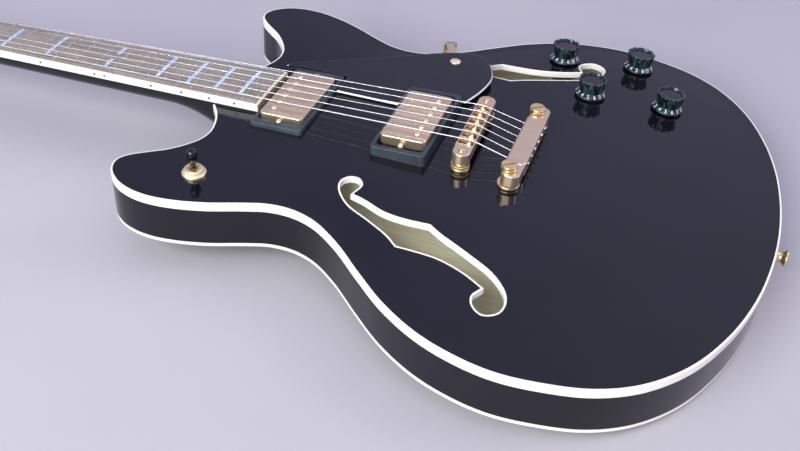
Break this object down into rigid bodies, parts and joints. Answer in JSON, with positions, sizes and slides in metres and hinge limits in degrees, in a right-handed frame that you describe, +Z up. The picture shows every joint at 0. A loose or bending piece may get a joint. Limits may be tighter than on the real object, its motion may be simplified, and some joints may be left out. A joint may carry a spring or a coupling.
{
  "type": "hollow-body electric guitar",
  "caption": "Thinline double-cutaway hollow-body electric guitar with f-holes, humbucking pickups, stop tailpiece, control knobs and angled headstock, lying on its back.",
  "frame": {"origin": "bottom centre of the bounding box, on the table that the guitar lies on", "axes": "+X from the headstock to the tail, +Y from the bass side to the treble side, +Z up from the table, out of the guitar's top"},
  "size_m": [1.072, 0.4368, 0.0935],
  "materials": {
    "black_lacquer": "gloss",
    "cream_binding": "satin",
    "maple": "raw",
    "rosewood": "satin",
    "bone": "satin",
    "string_steel": "satin",
    "pickup_gold": "polished",
    "cast_gold": "polished",
    "coil_black": "matt",
    "ring_plastic": "satin",
    "black_plastic": "gloss",
    "pot_steel": "brushed",
    "gold_plate": "polished"
  },
  "bodies": {
    "body": {"top_plate": "black_lacquer", "back_plate": "black_lacquer", "rim": "black_lacquer", "top_binding": "cream_binding", "back_binding": "cream_binding", "f_hole_binding_bass": "cream_binding", "f_hole_binding_treble": "cream_binding", "centre_block": "maple", "neck": "black_lacquer", "fretboard": "rosewood", "nut": "bone", "string_6": "string_steel", "string_5": "string_steel", "string_4": "string_steel", "string_3": "string_steel", "string_2": "string_steel", "string_1": "string_steel", "bridge": "gold_plate", "bridge_post_bass": "gold_plate", "bridge_post_treble": "gold_plate", "tailpiece": "cast_gold", "tailpiece_stud_bass": "gold_plate", "tailpiece_stud_treble": "gold_plate", "neck_pickup_cover": "pickup_gold", "neck_pickup_coils": "coil_black", "neck_pickup_ring": "ring_plastic", "bridge_pickup_cover": "pickup_gold", "bridge_pickup_coils": "coil_black", "bridge_pickup_ring": "ring_plastic", "control_harness": "pot_steel", "selector_switch": "gold_plate", "pickguard": "black_plastic", "pickguard_bracket": "gold_plate", "strap_button": "gold_plate", "output_jack": "gold_plate", "tuner_plate_bass": "gold_plate", "tuner_plate_treble": "gold_plate"},
    "volume_knob_neck": {"volume_knob_neck": "black_plastic"},
    "tone_knob_neck": {"tone_knob_neck": "black_plastic"},
    "volume_knob_bridge": {"volume_knob_bridge": "black_plastic"},
    "tone_knob_bridge": {"tone_knob_bridge": "black_plastic"},
    "selector_lever": {"selector_lever": "black_plastic"},
    "saddle_1": {"saddle_1": "gold_plate"},
    "saddle_2": {"saddle_2": "gold_plate"},
    "saddle_3": {"saddle_3": "gold_plate"},
    "saddle_4": {"saddle_4": "gold_plate"},
    "saddle_5": {"saddle_5": "gold_plate"},
    "saddle_6": {"saddle_6": "gold_plate"},
    "tuner_button_1": {"tuner_button_1": "gold_plate"},
    "tuner_post_1": {"tuner_post_1": "gold_plate"},
    "tuner_button_2": {"tuner_button_2": "gold_plate"},
    "tuner_post_2": {"tuner_post_2": "gold_plate"},
    "tuner_button_3": {"tuner_button_3": "gold_plate"},
    "tuner_post_3": {"tuner_post_3": "gold_plate"},
    "tuner_button_4": {"tuner_button_4": "gold_plate"},
    "tuner_post_4": {"tuner_post_4": "gold_plate"},
    "tuner_button_5": {"tuner_button_5": "gold_plate"},
    "tuner_post_5": {"tuner_post_5": "gold_plate"},
    "tuner_button_6": {"tuner_button_6": "gold_plate"},
    "tuner_post_6": {"tuner_post_6": "gold_plate"}
  },
  "joints": [
    {"name": "volume_knob_neck_turn", "type": "hinge", "parent": "body", "child": "volume_knob_neck", "pos_m": [0.3178, 0.16459, 0.05888], "axis": [0.024, 0.0925, 0.9954], "range_deg": [-150, 150]},
    {"name": "tone_knob_neck_turn", "type": "hinge", "parent": "body", "child": "tone_knob_neck", "pos_m": [0.38213, 0.18109, 0.05437], "axis": [0.0677, 0.0843, 0.9941], "range_deg": [-150, 150]},
    {"name": "volume_knob_bridge_turn", "type": "hinge", "parent": "body", "child": "volume_knob_bridge", "pos_m": [0.35299, 0.11009, 0.06171], "axis": [0.0578, 0.0636, 0.9963], "range_deg": [-150, 150]},
    {"name": "tone_knob_bridge_turn", "type": "hinge", "parent": "body", "child": "tone_knob_bridge", "pos_m": [0.41729, 0.12111, 0.05581], "axis": [0.1037, 0.0571, 0.993], "range_deg": [-150, 150]},
    {"name": "selector_flip", "type": "hinge", "parent": "body", "child": "selector_lever", "pos_m": [0.09932, -0.11971, 0.06904], "axis": [0.9995, -0.0002, -0.0306], "range_deg": [-12, 12]},
    {"name": "saddle_1_slide", "type": "slide", "parent": "body", "child": "saddle_1", "axis": [0.9978, 0.0332, -0.0566], "range_m": [-0.0013, 0.0013]},
    {"name": "saddle_2_slide", "type": "slide", "parent": "body", "child": "saddle_2", "axis": [0.9978, 0.0332, -0.0566], "range_m": [-0.0013, 0.0013]},
    {"name": "saddle_3_slide", "type": "slide", "parent": "body", "child": "saddle_3", "axis": [0.9978, 0.0332, -0.0566], "range_m": [-0.0013, 0.0013]},
    {"name": "saddle_4_slide", "type": "slide", "parent": "body", "child": "saddle_4", "axis": [0.9978, 0.0332, -0.0566], "range_m": [-0.0013, 0.0013]},
    {"name": "saddle_5_slide", "type": "slide", "parent": "body", "child": "saddle_5", "axis": [0.9978, 0.0332, -0.0566], "range_m": [-0.0013, 0.0013]},
    {"name": "saddle_6_slide", "type": "slide", "parent": "body", "child": "saddle_6", "axis": [0.9978, 0.0332, -0.0566], "range_m": [-0.0013, 0.0013]},
    {"name": "tuner_button_1_turn", "type": "hinge", "parent": "body", "child": "tuner_button_1", "pos_m": [-0.38522, 0.0206, 0.03474], "axis": [0, 1, 0], "continuous": true},
    {"name": "tuner_post_1_turn", "type": "hinge", "parent": "body", "child": "tuner_post_1", "pos_m": [-0.39705, 0.0206, 0.05163], "axis": [-0.2614, 0, 0.9652], "continuous": true},
    {"name": "tuner_button_2_turn", "type": "hinge", "parent": "body", "child": "tuner_button_2", "pos_m": [-0.42383, 0.0206, 0.02428], "axis": [0, 1, 0], "continuous": true},
    {"name": "tuner_post_2_turn", "type": "hinge", "parent": "body", "child": "tuner_post_2", "pos_m": [-0.43566, 0.0206, 0.04118], "axis": [-0.2614, 0, 0.9652], "continuous": true},
    {"name": "tuner_button_3_turn", "type": "hinge", "parent": "body", "child": "tuner_button_3", "pos_m": [-0.46244, 0.0206, 0.01383], "axis": [0, 1, 0], "continuous": true},
    {"name": "tuner_post_3_turn", "type": "hinge", "parent": "body", "child": "tuner_post_3", "pos_m": [-0.47427, 0.0206, 0.03072], "axis": [-0.2614, 0, 0.9652], "continuous": true},
    {"name": "tuner_button_4_turn", "type": "hinge", "parent": "body", "child": "tuner_button_4", "pos_m": [-0.46244, -0.0254, 0.01383], "axis": [0, -1, 0], "continuous": true},
    {"name": "tuner_post_4_turn", "type": "hinge", "parent": "body", "child": "tuner_post_4", "pos_m": [-0.47427, -0.0254, 0.03072], "axis": [-0.2614, 0, 0.9652], "continuous": true},
    {"name": "tuner_button_5_turn", "type": "hinge", "parent": "body", "child": "tuner_button_5", "pos_m": [-0.42383, -0.0254, 0.02428], "axis": [0, -1, 0], "continuous": true},
    {"name": "tuner_post_5_turn", "type": "hinge", "parent": "body", "child": "tuner_post_5", "pos_m": [-0.43566, -0.0254, 0.04118], "axis": [-0.2614, 0, 0.9652], "continuous": true},
    {"name": "tuner_button_6_turn", "type": "hinge", "parent": "body", "child": "tuner_button_6", "pos_m": [-0.38522, -0.0254, 0.03474], "axis": [0, -1, 0], "continuous": true},
    {"name": "tuner_post_6_turn", "type": "hinge", "parent": "body", "child": "tuner_post_6", "pos_m": [-0.39705, -0.0254, 0.05163], "axis": [-0.2614, 0, 0.9652], "continuous": true}
  ],
  "couplings": [
    {"joint": "tuner_post_1_turn", "follows": "tuner_button_1_turn", "ratio": 0.0625},
    {"joint": "tuner_post_2_turn", "follows": "tuner_button_2_turn", "ratio": 0.0625},
    {"joint": "tuner_post_3_turn", "follows": "tuner_button_3_turn", "ratio": 0.0625},
    {"joint": "tuner_post_4_turn", "follows": "tuner_button_4_turn", "ratio": 0.0625},
    {"joint": "tuner_post_5_turn", "follows": "tuner_button_5_turn", "ratio": 0.0625},
    {"joint": "tuner_post_6_turn", "follows": "tuner_button_6_turn", "ratio": 0.0625}
  ]
}
